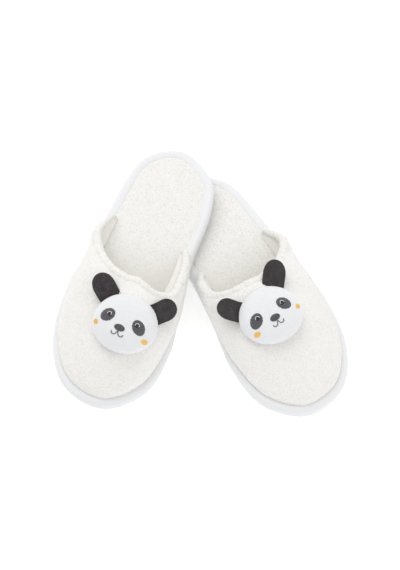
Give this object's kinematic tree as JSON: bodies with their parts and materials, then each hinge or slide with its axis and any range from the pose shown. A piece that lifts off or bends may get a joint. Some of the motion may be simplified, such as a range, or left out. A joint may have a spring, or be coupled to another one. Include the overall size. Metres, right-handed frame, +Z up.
{
  "type": "spa slippers",
  "caption": "Pair of closed-toe terry cloth spa slippers with bound foam soles, rolled foot openings and a stuffed panda head with felt ears on each instep",
  "frame": {"origin": "centre of the pair's footprint, on the floor", "axes": "toes towards -Y, heels towards +Y, +Z up; the wearer's left slipper is at +X and lies flat, the right slipper is at -X with its heel on the left one's heel"},
  "size_m": [0.231, 0.2498, 0.0599],
  "materials": {
    "outsole": "matte white foam rubber sheet",
    "midsole": "soft white closed-cell foam",
    "insole_terry": "short looped terry cloth",
    "upper_terry": "looped terry cloth, cream white",
    "lining": "thin brushed cotton lining, cream",
    "edge_tape": "smooth woven binding tape, white",
    "plush": "short fine fleece, cool white",
    "stuffing": "loose polyester fibre",
    "felt": "black brushed felt",
    "embroidery": "dark grey satin-stitched thread",
    "pupil_thread": "black satin-stitched thread",
    "cheek_thread": "orange satin-stitched thread"
  },
  "bodies": {
    "left_heel_part": {"left_outsole_heel": "outsole", "left_midsole_heel": "midsole", "left_insole_heel": "insole_terry", "left_edge_tape_heel": "edge_tape"},
    "left_front_part": {"left_outsole_front": "outsole", "left_midsole_front": "midsole", "left_insole_front": "insole_terry", "left_edge_tape_front": "edge_tape", "left_upper": "upper_terry", "left_upper_lining": "lining", "left_throat_hem": "upper_terry", "left_head_back": "plush", "left_head_face": "plush", "left_head_stuffing": "stuffing", "left_eye_patch_outer": "embroidery", "left_eye_patch_inner": "embroidery", "left_pupil_outer": "pupil_thread", "left_pupil_inner": "pupil_thread", "left_nose": "embroidery", "left_mouth": "embroidery", "left_cheek_outer": "cheek_thread", "left_cheek_inner": "cheek_thread"},
    "left_ear_outer_tab": {"left_ear_outer": "felt"},
    "left_ear_inner_tab": {"left_ear_inner": "felt"},
    "right_heel_part": {"right_outsole_heel": "outsole", "right_midsole_heel": "midsole", "right_insole_heel": "insole_terry", "right_edge_tape_heel": "edge_tape"},
    "right_front_part": {"right_outsole_front": "outsole", "right_midsole_front": "midsole", "right_insole_front": "insole_terry", "right_edge_tape_front": "edge_tape", "right_upper": "upper_terry", "right_upper_lining": "lining", "right_throat_hem": "upper_terry", "right_head_back": "plush", "right_head_face": "plush", "right_head_stuffing": "stuffing", "right_eye_patch_outer": "embroidery", "right_eye_patch_inner": "embroidery", "right_pupil_outer": "pupil_thread", "right_pupil_inner": "pupil_thread", "right_nose": "embroidery", "right_mouth": "embroidery", "right_cheek_outer": "cheek_thread", "right_cheek_inner": "cheek_thread"},
    "right_ear_outer_tab": {"right_ear_outer": "felt"},
    "right_ear_inner_tab": {"right_ear_inner": "felt"}
  },
  "joints": [
    {"name": "right_lift_off", "type": "slide", "parent": "left_heel_part", "child": "right_heel_part", "axis": [0, 0, 1], "range_m": [0, 0.12]},
    {"name": "left_sole_flex", "type": "hinge", "parent": "left_heel_part", "child": "left_front_part", "pos_m": [0.02197, 0.03044, 0.00935], "axis": [-0.7924, -0.61, 0], "range_deg": [0, 15], "stiffness_Nm_per_rad": 0.5},
    {"name": "right_sole_flex", "type": "hinge", "parent": "right_heel_part", "child": "right_front_part", "pos_m": [-0.03741, 0.04289, 0.02072], "axis": [-0.8749, 0.484, 0.0188], "range_deg": [0, 40], "stiffness_Nm_per_rad": 0.5},
    {"name": "left_ear_outer_flap", "type": "hinge", "parent": "left_front_part", "child": "left_ear_outer_tab", "pos_m": [0.0564, -0.03551, 0.04667], "axis": [0.9874, -0.0727, -0.1402], "range_deg": [0, 60], "stiffness_Nm_per_rad": 0.002},
    {"name": "left_ear_inner_flap", "type": "hinge", "parent": "left_front_part", "child": "left_ear_inner_tab", "pos_m": [0.02934, -0.05736, 0.04521], "axis": [0.1168, 0.9741, 0.1935], "range_deg": [0, 60], "stiffness_Nm_per_rad": 0.002},
    {"name": "right_ear_outer_flap", "type": "hinge", "parent": "right_front_part", "child": "right_ear_outer_tab", "pos_m": [-0.06865, -0.04728, 0.0501], "axis": [0.874, 0.4219, 0.241], "range_deg": [0, 60], "stiffness_Nm_per_rad": 0.002},
    {"name": "right_ear_inner_flap", "type": "hinge", "parent": "right_front_part", "child": "right_ear_inner_tab", "pos_m": [-0.03313, -0.06175, 0.04832], "axis": [0.3187, -0.8965, -0.3077], "range_deg": [0, 60], "stiffness_Nm_per_rad": 0.002}
  ]
}
